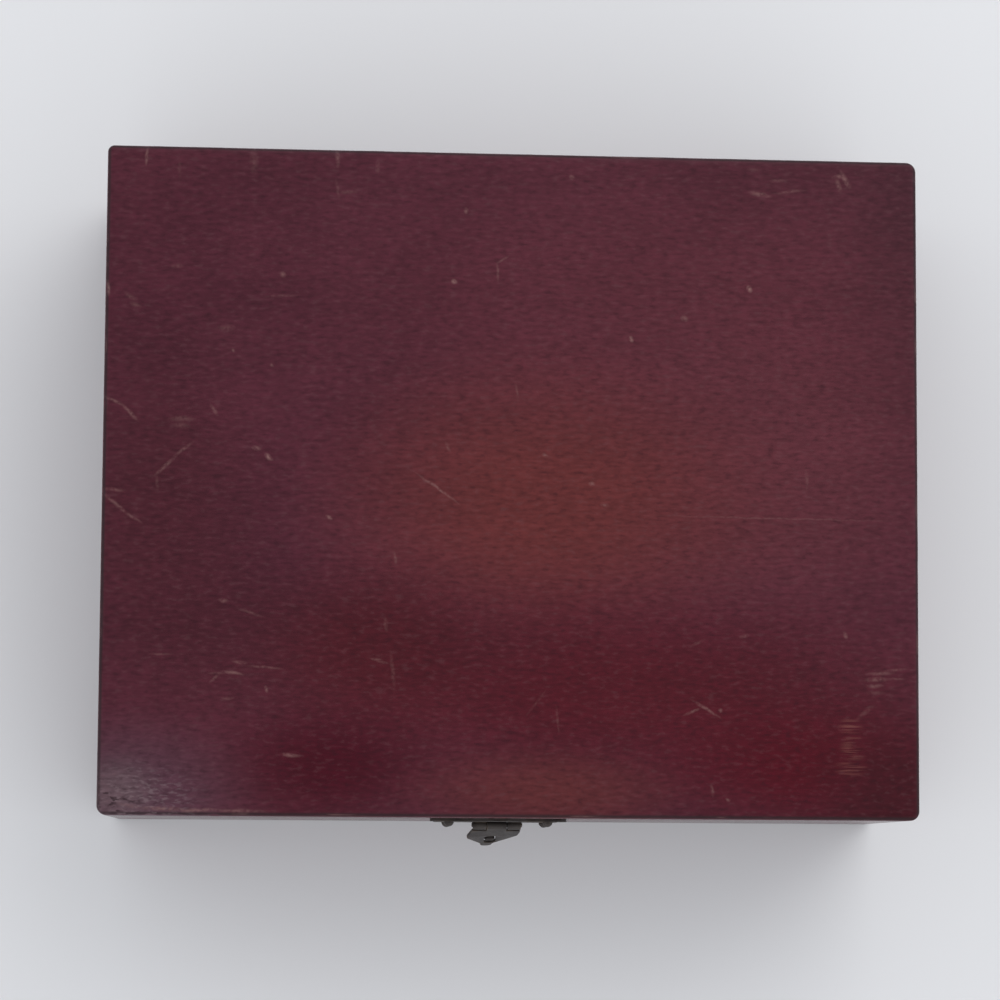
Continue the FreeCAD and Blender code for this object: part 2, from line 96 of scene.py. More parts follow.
class Paint:
    """Short ways to wire the nodes of one material."""

    def __init__(self, name):
        self.material = bpy.data.materials.new(name)
        self.material.use_nodes = True
        self.nodes = self.material.node_tree.nodes
        self.links = self.material.node_tree.links
        self.shader = self.nodes["Principled BSDF"]

    def join(self, value, socket):
        if isinstance(value, bpy.types.NodeSocket):
            self.links.new(value, socket)
        else:
            socket.default_value = value

    def feed(self, **inputs):
        """Set or link inputs of the shader, named with _ for a blank."""
        for name, value in inputs.items():
            self.join(value, self.shader.inputs[name.replace("_", " ")])

    def spot(self):
        """A point of the surface, in the rest frame of the object."""
        return self.nodes.new("ShaderNodeTexCoord").outputs["Object"]

    def math(self, operation, *values):
        node = self.nodes.new("ShaderNodeMath")
        node.operation = operation
        for value, socket in zip(values, node.inputs):
            self.join(value, socket)
        return node.outputs[0]

    def vector(self, operation, *values):
        node = self.nodes.new("ShaderNodeVectorMath")
        node.operation = operation
        for value, socket in zip(values, node.inputs):
            self.join(value, socket)
        return node.outputs["Value" if operation in ("DOT_PRODUCT", "LENGTH") else "Vector"]

    def split(self, vector):
        node = self.nodes.new("ShaderNodeSeparateXYZ")
        self.join(vector, node.inputs[0])
        return node.outputs

    def noise(self, at, scale, detail=2.0, distortion=0.0):
        node = self.nodes.new("ShaderNodeTexNoise")
        node.inputs["Scale"].default_value = scale
        node.inputs["Detail"].default_value = detail
        node.inputs["Distortion"].default_value = distortion
        self.join(at, node.inputs["Vector"])
        return node.outputs["Fac"]

    def grain(self, at, along, ratio, scale, detail=2.0, distortion=0.0):
        """Noise drawn out along the grain by a ratio."""
        squeeze = Vector((1, 1, 1)) - along * (1 - 1 / ratio)
        return self.noise(self.vector("MULTIPLY", at, squeeze), scale, detail, distortion)

    def ease(self, value, start, end, low=0.0, high=1.0):
        """A smooth step from low at start to high at end."""
        node = self.nodes.new("ShaderNodeMapRange")
        node.interpolation_type = "SMOOTHSTEP"
        numbers = (start, end, low, high)
        for name, number in zip(("From Min", "From Max", "To Min", "To Max"), numbers):
            node.inputs[name].default_value = number
        self.join(value, node.inputs["Value"])
        return node.outputs["Result"]

    def oval(self, at, middle, half_length, half_width, turn=0.0):
        """Distance from the middle of an oval in the plan, 1 at its rim."""
        node = self.nodes.new("ShaderNodeMapping")
        node.vector_type = "TEXTURE"
        node.inputs["Location"].default_value = middle
        node.inputs["Rotation"].default_value = (0, 0, turn)
        node.inputs["Scale"].default_value = (half_length, half_width, 1)
        self.join(at, node.inputs["Vector"])
        return self.vector("LENGTH", node.outputs[0])

    def mix(self, share, first, second, way="MIX"):
        node = self.nodes.new("ShaderNodeMix")
        node.data_type = "RGBA"
        node.blend_type = way
        for value, index in ((share, 0), (first, 6), (second, 7)):
            self.join(value, node.inputs[index])
        return node.outputs[2]

    def bump(self, height, distance, strength):
        node = self.nodes.new("ShaderNodeBump")
        node.inputs["Distance"].default_value = distance
        node.inputs["Strength"].default_value = strength
        self.join(height, node.inputs["Height"])
        self.links.new(node.outputs["Normal"], self.shader.inputs["Normal"])


# Colours
STAIN_DARK = (0.058, 0.0105, 0.020, 1)
STAIN_RED = (0.071, 0.0135, 0.0245, 1)
STAIN_THIN = (0.17, 0.055, 0.045, 1)
PORE = (0.020, 0.004, 0.008, 1)
DARK_TONE = (0.012, 0.004, 0.006, 1)
DUSTY = (0.14, 0.065, 0.075, 1)
CRUMB = (0.17, 0.115, 0.130, 1)
SCRAPED = (0.205, 0.104, 0.100, 1)
RUBBED_BROWN = (0.150, 0.047, 0.042, 1)
PLANED_DARK = (0.30, 0.19, 0.11, 1)
PLANED_PALE = (0.42, 0.29, 0.18, 1)
PLANED_RING = (0.24, 0.14, 0.075, 1)
PLANED_FIBRE = (0.2, 0.12, 0.07, 1)
BRONZE_DARK = (0.022, 0.016, 0.015, 1)
BRONZE_BROWN = (0.040, 0.032, 0.029, 1)
BRONZE_GRIT = (0.054, 0.047, 0.043, 1)
BRONZE_RUBBED = (0.22, 0.15, 0.09, 1)
TABLE = (0.73, 0.735, 0.76, 1)
DAYLIGHT = (0.97, 0.985, 1, 1)
LAMPLIGHT = (1, 0.985, 0.96)

# Grain: its direction, and how far its fibres and dashes are drawn out
GRAIN_ALONG_X = Vector((1, 0, 0))
GRAIN_ALONG_Y = Vector((0, 1, 0))
LID_GRAIN = (4, 2.1)
WALL_GRAIN = (12, 7)
GRAIN_RELIEF = 0.1 * MM
NOISE_SPAN = (0.3, 0.7)

# Varnish and wear: roughness, and bands from an edge where darkening and rubbing set in
LID_VARNISH = 0.42
WALL_VARNISH = 0.18
VARNISH_SPREAD = 0.05
VARNISH_SPECULAR = 0.13
BARE_ROUGHNESS = 0.75
EDGE_DARKENING_BAND = (1.3 * MM, 0.5 * MM)
RUBBED_BAND = (0.9 * MM, 0.2 * MM)
THIN_INSIDE = 0.7


def edge_distance(paint, at, low, high):
    """How far a point of a box's surface is from the box's nearest edge."""
    middle = (low + high) / 2
    half = (high - low) / 2
    offset = paint.vector("ABSOLUTE", paint.vector("SUBTRACT", at, middle))
    x, y, z = paint.split(paint.vector("SUBTRACT", half, offset))
    nearer = paint.math("MINIMUM", x, y)
    farther = paint.math("MAXIMUM", x, y)
    return paint.math("MAXIMUM", nearer, paint.math("MINIMUM", farther, z))


def inside_share(paint, at):
    """1 on the faces that look into the closed box, 0 outside."""
    margin = 0.3 * MM
    x, y, z = paint.split(paint.vector("ABSOLUTE", at))
    in_width = paint.math("LESS_THAN", x, HALF.x - WALL + margin)
    in_depth = paint.math("LESS_THAN", y, HALF.y - WALL + margin)
    below_lid = paint.math("LESS_THAN", z, LID_LOW.z + margin)
    return paint.math("MULTIPLY", paint.math("MULTIPLY", in_width, in_depth), below_lid)


# Zones of the lid's colour: middle and reach in pixels of the photograph, and the tint they lean to
# Some zones paint light into the stain: a painted sheen in the left corner, and painted dark reflection low on the
# left and middle.
ZONES = {
    "dark upper right": ((935, 270), (140, 240), (0.042, 0.0095, 0.0165, 1), 0.95),
    "upper middle": ((680, 330), (430, 200), (0.087, 0.0170, 0.0270, 1), 0.8),
    "right middle": ((770, 475), (230, 190), (0.094, 0.0200, 0.0290, 1), 0.9),
    "warm middle": ((545, 500), (280, 175), (0.109, 0.0205, 0.0210, 1), 0.95),
    "crimson below": ((610, 690), (440, 125), (0.069, 0.0050, 0.0112, 1), 0.95),
    "crimson right": ((805, 765), (205, 95), (0.063, 0.0016, 0.0072, 1), 0.95),
    "dark left": ((160, 520), (140, 220), (0.053, 0.0090, 0.0160, 1), 0.8),
    # Painted dark reflection: this zone and the next two darken the stain where a dark reflection lies low on the
    # left and middle.
    "painted dark reflection, low left": ((240, 650), (170, 110), (0.052, 0.0080, 0.0150, 1), 0.7),
    "painted dark reflection left of middle": ((375, 645), (150, 115), (0.056, 0.0045, 0.0090, 1), 0.8),
    "painted dark reflection, bottom": ((330, 765), (150, 80), (0.046, 0.0012, 0.0072, 1), 0.95),
    "warm bottom": ((545, 792), (175, 55), (0.090, 0.0175, 0.0200, 1), 0.95),
    "dark right corner": ((895, 795), (110, 95), (0.042, 0.0035, 0.0080, 1), 0.95),
    # Painted sheen: this zone pales the stain towards violet grey where a reflection lies in the left corner.
    "painted sheen in the left corner": ((115, 800), (170, 105), (0.075, 0.0320, 0.0480, 1), 1.0),
    "dust in the left corner": ((116, 792), (55, 45), (0.100, 0.0600, 0.0720, 1), 0.9),
}

# Marks on the lid: start and end in pixels of the photograph, width of the core in mm, strength
MARK_SPREAD = 1.35
MARK_LOT = 24
MARK_SWAY = 0.8 * MM
CROSSING_THROW = 0.15 * MM
MARKS = {
    "long faint line": ((640, 515), (915, 522), 0.5, 0.22),
    "diagonal": ((414, 471), (461, 505), 0.7, 0.5),
    "left edge, upper": ((104, 396), (125, 406), 0.9, 0.4),
    "left edge, upper bend": ((121, 403), (138, 421), 1.0, 0.45),
    "left edge, level": ((104, 488), (125, 491), 0.9, 0.35),
    "left edge, lower": ((104, 494), (128, 515), 0.9, 0.42),
    "left edge, lower bend": ((123, 511), (142, 523), 0.8, 0.35),
    "left slant": ((153, 477), (178, 454), 1.0, 0.42),
    "left slant, upper": ((174, 456), (193, 442), 0.9, 0.35),
    "left slant, foot": ((156, 474), (158, 490), 0.9, 0.18),
    "left of middle, level": ((170, 419), (194, 419), 1.5, 0.28),
    "left of middle, level under": ((173, 425), (189, 426), 1.4, 0.2),
    "left of middle, short slant": ((211, 405), (217, 415), 1.0, 0.35),
    "left of middle, dash": ((253, 448), (259, 449), 1.2, 0.45),
    "left of middle, speck": ((266, 455), (271, 459), 1.2, 0.8),
    "left of middle, low speck": ((220, 600), (227, 601), 1.1, 0.4),
    "left of middle, low line": ((238, 608), (262, 617), 0.8, 0.25),
    "left of middle, right speck": ((328, 516), (331, 518), 1.1, 0.6),
    "middle speck, first": ((544, 455), (546, 456), 1.1, 0.45),
    "middle speck, second": ((590, 484), (593, 484), 1.0, 0.5),
    "middle speck, third": ((602, 505), (607, 506), 1.0, 0.35),
    "middle, short stem": ((394, 553), (396, 563), 0.9, 0.35),
    "middle, short dash": ((446, 443), (450, 451), 0.9, 0.25),
    "middle, thin stem": ((515, 384), (518, 402), 0.8, 0.2),
    "low middle, stem": ((391, 650), (394, 692), 1.1, 0.2),
    "low middle, upper stem": ((385, 618), (387, 630), 1.1, 0.25),
    "low middle, first curve": ((526, 716), (546, 690), 0.7, 0.16),
    "low middle, second curve": ((556, 705), (559, 736), 0.7, 0.18),
    "low right, first dash": ((691, 646), (704, 640), 0.8, 0.22),
    "low right, second dash": ((741, 637), (747, 636), 1.0, 0.35),
    "low right, stem": ((711, 785), (713, 796), 0.9, 0.3),
    "right stem": ((806, 470), (807, 490), 0.9, 0.2),
    "ladder, left rail": ((836, 180), (840, 191), 1.3, 0.42),
    "ladder, right rail": ((841, 173), (849, 187), 1.4, 0.56),
    "ladder, rung": ((833, 178), (843, 176), 1.2, 0.42),
    "upper dash": ((750, 192), (770, 197), 1.2, 0.5),
    "upper dash, faint": ((772, 194), (807, 190), 0.8, 0.3),
    "upper dash, short": ((771, 181), (784, 181), 1.1, 0.25),
    "upper dash, high": ((747, 170), (760, 170), 0.9, 0.15),
    "hook, top": ((509, 256), (496, 264), 0.7, 0.3),
    "hook, stem": ((497, 262), (498, 282), 0.7, 0.3),
    "lower left arc, tail": ((210, 682), (219, 674), 0.8, 0.3),
    "lower left arc, run": ((208, 673), (226, 673), 0.7, 0.25),
    "lower left arc, head": ((222, 671), (245, 674), 0.9, 0.55),
    "lower left dash": ((233, 661), (246, 663), 0.9, 0.4),
    "lower left line": ((246, 666), (284, 669), 0.7, 0.4),
    "low faint dash": ((222, 698), (233, 698), 0.8, 0.3),
    "bottom left dash": ((281, 754), (299, 756), 1.1, 0.55),
    "far left dash": ((148, 654), (173, 654), 0.6, 0.25),
    "low middle dash": ((371, 658), (382, 660), 0.8, 0.35),
    "low middle dash, under": ((377, 661), (388, 663), 0.7, 0.35),
    "vee, falling": ((692, 700), (722, 719), 0.8, 0.5),
    "vee, rising": ((683, 716), (701, 708), 0.8, 0.45),
    "top edge, first": ((148, 148), (146, 165), 0.9, 0.6),
    "top edge, faint": ((180, 158), (179, 180), 1.0, 0.12),
    "top edge, second": ((254, 152), (254, 172), 2.2, 0.2),
    "top edge, third": ((337, 151), (338, 167), 1.1, 0.35),
    "below the third": ((336, 180), (340, 198), 1.1, 0.2),
    "left edge nick": ((108, 281), (109, 294), 1.0, 0.6),
    "upper left streak": ((262, 297), (300, 295), 0.8, 0.2),
    "right streak, first": ((866, 674), (894, 673), 1.0, 0.35),
    "right streak, second": ((865, 680), (888, 679), 1.3, 0.4),
    "right streak, third": ((866, 686), (882, 686), 1.1, 0.35),
    "right streak, fourth": ((866, 693), (884, 693), 1.0, 0.2),
    "right streak, far": ((884, 671), (908, 669), 0.8, 0.3),
    "right streak, far lower": ((888, 679), (906, 679), 0.7, 0.25),
    "right slant": ((874, 705), (856, 720), 1.2, 0.2),
    "speck, left of middle": ((453, 281), (455, 282), 1.2, 0.8),
    "speck, middle": ((631, 338), (632, 340), 1.2, 0.8),
    "speck, right": ((748, 288), (750, 291), 1.2, 0.85),
    "speck, faint right": ((683, 318), (686, 319), 1.4, 0.5),
    "speck, high": ((466, 210), (466, 212), 1.2, 0.5),
    "speck, top": ((571, 177), (572, 178), 1.2, 0.5),
    "speck, upper left": ((282, 274), (284, 275), 1.2, 0.5),
    "speck, left": ((233, 349), (234, 351), 0.8, 0.4),
    "speck, left lower": ((271, 365), (272, 366), 0.8, 0.4),
    "speck, lower left": ((266, 687), (267, 691), 1.0, 0.5),
    "speck, lower right": ((845, 634), (846, 637), 1.2, 0.55),
    "speck, bottom right": ((727, 799), (729, 800), 0.9, 0.4),
    "speck, beside the vee": ((720, 710), (721, 711), 0.9, 0.45),
    "top edge, fourth": ((378, 160), (377, 174), 1.2, 0.22),
    "dash under the top edge": ((340, 192), (357, 192), 1.1, 0.22),
    "left cluster, upper": ((126, 293), (136, 299), 1.4, 0.22),
    "left cluster, lower": ((131, 303), (140, 306), 1.3, 0.25),
    "left blotch": ((220, 328), (232, 328), 1.8, 0.2),
    "left faint dash": ((172, 266), (182, 266), 1.2, 0.2),
    "front edge, first": ((138, 808), (188, 809), 1.2, 0.5),
    "front edge, second": ((166, 810), (226, 810), 1.0, 0.5),
    "front edge, third": ((206, 810), (270, 811), 1.0, 0.4),
    "front corner": ((116, 803), (140, 808), 1.0, 0.3),
}

# Patches rubbed through the stain in streaks along the grain: middle and reach in pixels, and strength
RUBBED = {
    "by the right edge, upper": ((850, 727), (15, 12), 0.75),
    "by the right edge, middle": ((854, 748), (17, 16), 0.95),
    "by the right edge, lower": ((851, 768), (20, 11), 0.75),
}

# The knocked corner of the lid, with crumbs of dust and dark pits: middle and reach in pixels
DUSTY_CORNER = ((140, 798), (85, 48))
PITTED_CORNER = ((112, 802), (50, 30))
CRUMB_STRETCH = 2.5


def lid_patch(paint, at, pixel, reach):
    """1 in the middle of an oval patch of the lid, easing to 0 at its rim."""
    middle = on_lid(pixel)
    corner = on_lid((pixel[0] + reach[0], pixel[1] - reach[1]))
    return paint.ease(paint.oval(at, middle, corner.x - middle.x, corner.y - middle.y), 1, 0.1)


def lid_tint(paint, at, tone):
    for pixel, reach, tint, strength in ZONES.values():
        share = paint.math("MULTIPLY", lid_patch(paint, at, pixel, reach), strength)
        tone = paint.mix(share, tone, tint)
    return tone


def lid_marks(paint, at):
    """Share of scraped wood in the scratches and specks of the lid, tapering to their ends.

    One shader holds only so many marks at a time, so they come in lots.
    A later lot is thrown a little aside where it crosses an earlier one.
    """
    wander = paint.math("MULTIPLY_ADD", paint.noise(at, 300, 1), MARK_SWAY, -MARK_SWAY / 2)
    marks = list(MARKS.values())
    total = 0.0
    for lot in range(0, len(marks), MARK_LOT):
        swayed = paint.vector("ADD", at, paint.math("MULTIPLY_ADD", total, CROSSING_THROW, wander))
        for start, end, width, strength in marks[lot:lot + MARK_LOT]:
            first, last = on_lid(start), on_lid(end)
            reach = last - first
            turn = math.atan2(reach.y, reach.x)
            spread = width * MM * MARK_SPREAD
            gap = paint.oval(swayed, (first + last) / 2, (reach.length + spread) / 2, spread / 2, turn)
            total = paint.math("MAXIMUM", total, paint.math("MULTIPLY_ADD", gap, -strength, strength))
    broken = paint.ease(paint.noise(at, 1100, 1), 0.3, 0.6, 0.4, 1.2)
    return paint.math("MULTIPLY", total, broken)


def lid_rubbed(paint, at, streaks):
    total = 0.0
    for pixel, reach, strength in RUBBED.values():
        patch = paint.math("MULTIPLY", lid_patch(paint, at, pixel, reach), strength)
        total = paint.math("MAXIMUM", total, paint.math("MULTIPLY", patch, streaks))
    return total


def lid_corner(paint, at, along, tone):
    """The lid's tone with crumbs and pits in the knocked corner."""
    crumbs = paint.ease(paint.grain(at, along, CRUMB_STRETCH, 1400, 2), 0.48, 0.70, 0, 0.55)
    tone = paint.mix(paint.math("MULTIPLY", crumbs, lid_patch(paint, at, *DUSTY_CORNER)), tone, CRUMB)
    pits = paint.ease(paint.grain(at, along, CRUMB_STRETCH, 1100, 2), 0.45, 0.34, 0, 0.75)
    return paint.mix(paint.math("MULTIPLY", pits, lid_patch(paint, at, *PITTED_CORNER)), tone, DARK_TONE)


def stained_wood(name, along, low, high, offset, varnish, lid=False):
    """Burgundy stain under worn varnish, with grain along the board and darkened, rubbed edges."""
    paint = Paint(name)
    at = paint.spot()
    own = paint.vector("ADD", at, Vector(offset))
    figure = paint.grain(own, along, 6, 70, 3, 0.4)
    fibre_stretch, dash_stretch = LID_GRAIN if lid else WALL_GRAIN
    fibre = paint.grain(own, along, fibre_stretch, 1000, 3)
    dash = paint.grain(own, along, dash_stretch, 900, 2)
    thread = paint.grain(own, along, 14, 1250, 2)
    mottle = paint.noise(own, 420, 3)
    cloud = paint.noise(own, 26, 3)

    tone = paint.mix(paint.ease(cloud, 0.35, 0.65), STAIN_DARK, STAIN_RED)
    if lid:
        # On the lid, the zones add painted sheen and painted dark reflection to the stain's tone.
        tone = lid_tint(paint, at, tone)
    depth = paint.math("ADD", paint.ease(figure, *NOISE_SPAN, 0.44, 0.56), paint.ease(fibre, *NOISE_SPAN, 0.38, 0.62))
    depth = paint.math("MULTIPLY", depth, paint.ease(mottle, *NOISE_SPAN, 0.95, 1.05))
    tone = paint.mix(1.0, tone, depth, "MULTIPLY")
    tone = paint.mix(paint.ease(dash, 0.5, 0.22, 0, 0.38), tone, PORE)
    tone = paint.mix(paint.ease(dash, 0.5, 0.78, 0, 0.16), tone, DUSTY)

    edge = edge_distance(paint, at, low, high)
    # Darker within a band along every edge of the shell.
    tone = paint.mix(paint.ease(edge, *EDGE_DARKENING_BAND, 0, 0.8), tone, DARK_TONE)
    worn_here = paint.ease(paint.noise(own, 75, 4), 0.57, 0.68, 0, 0.7)
    bare = paint.math("MULTIPLY", paint.ease(edge, *RUBBED_BAND), worn_here)
    if lid:
        streaks = paint.ease(thread, 0.44, 0.62)
        tone = paint.mix(lid_rubbed(paint, at, streaks), tone, RUBBED_BROWN)
        tone = lid_corner(paint, at, along, tone)
        bare = paint.math("MAXIMUM", bare, lid_marks(paint, at))
    tone = paint.mix(bare, tone, SCRAPED)

    thin = paint.mix(paint.ease(thread, *NOISE_SPAN), STAIN_THIN, STAIN_RED)
    tone = paint.mix(paint.math("MULTIPLY", inside_share(paint, at), THIN_INSIDE), tone, thin)
    gloss = paint.ease(cloud, *NOISE_SPAN, varnish, varnish + VARNISH_SPREAD)
    gloss = paint.math("MAXIMUM", gloss, paint.math("MULTIPLY", bare, BARE_ROUGHNESS))
    paint.feed(Base_Color=tone, Roughness=gloss, Specular_IOR_Level=VARNISH_SPECULAR)
    paint.bump(paint.math("MULTIPLY_ADD", dash, 0.6, fibre), GRAIN_RELIEF, 0.25)
    return paint.material


def bare_wood(name, along):
    """Plain planed wood for the bottom, greyed by age."""
    paint = Paint(name)
    at = paint.spot()
    figure = paint.grain(at, along, 10, 80, 3, 0.6)
    rings = paint.grain(at, along, 30, 330, 3, 0.3)
    fibre = paint.grain(at, along, 24, 1000, 2)
    tone = paint.mix(paint.ease(figure, *NOISE_SPAN), PLANED_DARK, PLANED_PALE)
    tone = paint.mix(paint.ease(rings, 0.5, 0.68, 0, 0.5), tone, PLANED_RING)
    tone = paint.mix(paint.ease(fibre, 0.45, 0.2), tone, PLANED_FIBRE)
    paint.feed(Base_Color=tone, Roughness=paint.ease(fibre, 0.2, 0.8, 0.6, 0.8))
    paint.bump(fibre, GRAIN_RELIEF, 0.4)
    return paint.material


def dark_bronze(name):
    """Antique bronze: a dark brown-green skin, rubbed brighter along its edges."""
    paint = Paint(name)
    at = paint.spot()
    cloud = paint.noise(at, 260, 4)
    grit = paint.noise(at, 2600, 2)
    tone = paint.mix(paint.ease(cloud, 0.35, 0.65), BRONZE_DARK, BRONZE_BROWN)
    tone = paint.mix(paint.ease(grit, 0.56, 0.75), tone, BRONZE_GRIT)
    rounded = paint.nodes.new("ShaderNodeBevel")
    rounded.samples = 4
    rounded.inputs["Radius"].default_value = 0.3 * MM
    true_normal = paint.nodes.new("ShaderNodeNewGeometry").outputs["True Normal"]
    bend = paint.vector("DOT_PRODUCT", rounded.outputs[0], true_normal)
    worn = paint.math("MULTIPLY", paint.ease(bend, 0.985, 0.88), paint.ease(cloud, 0.42, 0.64))
    tone = paint.mix(paint.math("MULTIPLY", worn, 0.5), tone, BRONZE_RUBBED)
    gloss = paint.ease(grit, 0.2, 0.8, 0.40, 0.60)
    paint.feed(Base_Color=tone, Metallic=paint.ease(worn, 0, 1, 0.5, 0.95), Roughness=gloss)
    paint.bump(paint.math("ADD", grit, cloud), 0.05 * MM, 0.3)
    return paint.material


# Light and floor

HORIZON, ZENITH = 1.8, 0.53
KEY_SPOT = (0.75, 1.15, 1.3)
KEY_WIDTH = 1.6
KEY_WATTS = 10
TABLE_SIZE = 12
TABLE_ROUGHNESS = 0.7


def soft_light(name, spot, width, watts, tint):
    data = bpy.data.lights.new(name, "AREA")
    data.size = width
    data.energy = watts
    data.color = tint
    lamp = bpy.data.objects.new(name, data)
    lamp.location = spot
    lamp.rotation_euler = (-Vector(spot)).to_track_quat("-Z", "Y").to_euler()
    scene.collection.objects.link(lamp)


def set_world(horizon, zenith):
    """A pale room, darker overhead than at the horizon."""
    world = bpy.data.worlds.new("room")
    world.use_nodes = True
    scene.world = world
    nodes, links = world.node_tree.nodes, world.node_tree.links
    place = nodes.new("ShaderNodeTexCoord")
    split = nodes.new("ShaderNodeSeparateXYZ")
    height = nodes.new("ShaderNodeMapRange")
    height.inputs["To Min"].default_value = horizon
    height.inputs["To Max"].default_value = zenith
    background = nodes["Background"]
    background.inputs["Color"].default_value = DAYLIGHT
    links.new(place.outputs["Generated"], split.inputs[0])
    links.new(split.outputs["Z"], height.inputs["Value"])
    links.new(height.outputs["Result"], background.inputs["Strength"])


def set_floor():
    bpy.ops.mesh.primitive_plane_add(size=TABLE_SIZE)
    floor = bpy.context.object
    floor.name = "floor"
    paint = Paint("pale_table")
    paint.feed(Base_Color=TABLE, Roughness=TABLE_ROUGHNESS)
    floor.data.materials.append(paint.material)


# Pieces

SAME_POINT = 0.001 * MM
FLAT_WITHIN = math.radians(0.5)
SHARP_FROM = math.radians(30)
EASE_STEPS = 2


def softened(name, material, width):
    """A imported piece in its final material, with the sharp edges eased."""
    node = frame["nodes"][name]
    node.material_slots[0].material = material
    weld = node.modifiers.new("weld", "WELD")
    weld.merge_threshold = SAME_POINT
    planes = node.modifiers.new("planes", "DECIMATE")
    planes.decimate_type = "DISSOLVE"
    planes.angle_limit = FLAT_WITHIN
    bevel = node.modifiers.new("ease", "BEVEL")
    bevel.limit_method = "ANGLE"
    bevel.angle_limit = SHARP_FROM
    bevel.width = width
    bevel.segments = EASE_STEPS
    even = node.modifiers.new("even", "WEIGHTED_NORMAL")
    even.keep_sharp = False


def new_piece(name, bm, body, node, material, sharp):
    """A modelled piece that stands for a packed one and rides on its body."""
    bmesh.ops.recalc_face_normals(bm, faces=bm.faces)
    mesh = bpy.data.meshes.new(name)
    bm.to_mesh(mesh)
    bm.free()
    mesh.shade_smooth()
    mesh.set_sharp_from_angle(angle=math.radians(sharp))
    mesh.materials.append(material)
    piece = bpy.data.objects.new(name, mesh)
    scene.collection.objects.link(piece)
    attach(piece, body)
    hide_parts(node)


def skin(bm, rings):
    """Faces between rings of as many points, with both ends closed."""
    loops = [[bm.verts.new(point) for point in ring] for ring in rings]
    count = len(loops[0])
    for lower, upper in zip(loops, loops[1:]):
        for i in range(count):
            j = (i + 1) % count
            bm.faces.new((lower[i], lower[j], upper[j], upper[i]))
    bm.faces.new(list(reversed(loops[0])))
    bm.faces.new(loops[-1])


# The lid's board, worn along its upper edges

LID_ARRIS = 1.5 * MM
LID_FOOT_EASE = 0.3 * MM
LID_FLAT_FROM = 2.5 * MM
LID_CORNERS = (
    (1, -1, 2.5 * MM),
    (1, 1, 2.8 * MM),
    (-1, 1, 1.8 * MM),
    (-1, -1, 2.6 * MM),
)
CORNER_STEPS = 10
EDGE_STEP = 0.8 * MM
ARRIS_STEPS = 6
LEAST_CORNER = 0.2 * MM
RUB_DEPTH = 0.22 * MM
RUB_BROAD, RUB_FINE = 90, 420
NICK_WIDTH = 1.0 * MM

# Nicks in the lid's edge: the pixel of the photograph, and depth in mm
NICKS = {
    "back, first": ((147, 148), 0.5),
    "back, second": ((254, 151), 0.35),
    "back, third": ((337, 152), 0.4),
    "left, upper": ((106, 287), 0.45),
    "left, middle": ((105, 402), 0.4),
    "left, lower": ((104, 492), 0.4),
    "left, low": ((103, 779), 0.4),
    "front, first": ((122, 812), 0.5),
    "front, second": ((150, 813), 0.4),
    "front, third": ((176, 813), 0.35),
    "front, fourth": ((214, 814), 0.4),
    "right, high": ((915, 178), 0.35),
    "right, low": ((916, 700), 0.3),
}


def lid_outline(inset):
    """The board's outline from above, anticlockwise from the front right corner, drawn in by an inset."""
    arcs = []
    for turn, (side_x, side_y, corner) in enumerate(LID_CORNERS):
        radius = max(corner - inset, LEAST_CORNER)
        middle = Vector((side_x * (HALF.x - inset - radius), side_y * (HALF.y - inset - radius)))
        angles = [math.radians(90) * (turn - 1 + step / CORNER_STEPS) for step in range(CORNER_STEPS + 1)]
        arcs.append([middle + radius * Vector((math.cos(a), math.sin(a))) for a in angles])
    points = []
    for turn, arc in enumerate(arcs):
        following = arcs[(turn + 1) % len(arcs)][0]
        runs = round(2 * (HALF.y if turn % 2 == 0 else HALF.x) / EDGE_STEP)
        points += arc + [arc[-1].lerp(following, step / runs) for step in range(1, runs)]
    return points


def edge_loss(point):
    """How much of the arris is rubbed or knocked away at a point of the outline."""
    spot = point.to_3d()
    rough = noise.noise(spot * RUB_BROAD) + 0.5 * noise.noise(spot * RUB_FINE)
    loss = RUB_DEPTH * max(0.0, 0.35 + 0.6 * rough)
    for pixel, depth in NICKS.values():
        gap = (on_lid(pixel).to_2d() - point).length
        loss += depth * MM * math.exp(-(gap / NICK_WIDTH) ** 2)
    return loss


def lid_board(material):
    outer = lid_outline(0)
    inner = lid_outline(LID_ARRIS)
    inward = [(b - a).normalized() for a, b in zip(outer, inner)]
    loss = [edge_loss(point) for point in outer]

    def ring(inset, height):
        return [point.to_3d() + Vector((0, 0, height)) for point in lid_outline(inset)]

    rings = [
        ring(LID_FLAT_FROM, LID_LOW.z),
        ring(LID_FOOT_EASE, LID_LOW.z),
        ring(0, LID_LOW.z + LID_FOOT_EASE),
        ring(0, LID_HIGH.z - 2 * LID_ARRIS),
    ]
    for step in range(ARRIS_STEPS + 1):
        angle = math.radians(90) * step / ARRIS_STEPS
        points = ring(LID_ARRIS * (1 - math.cos(angle)), LID_HIGH.z - LID_ARRIS * (1 - math.sin(angle)))
        for point, way, lost in zip(points, inward, loss):
            cut = lost * math.sin(2 * angle)
            point += Vector((*(way * cut * math.cos(angle)), -cut * math.sin(angle)))
        rings.append(points)
    rings.append(ring(LID_FLAT_FROM, LID_HIGH.z))
    bm = bmesh.new()
    skin(bm, rings)
    new_piece("lid_board_worn", bm, "lid", "lid_top_panel", material, sharp=60)


# Domed nail heads, a little hammered, on tapered shanks

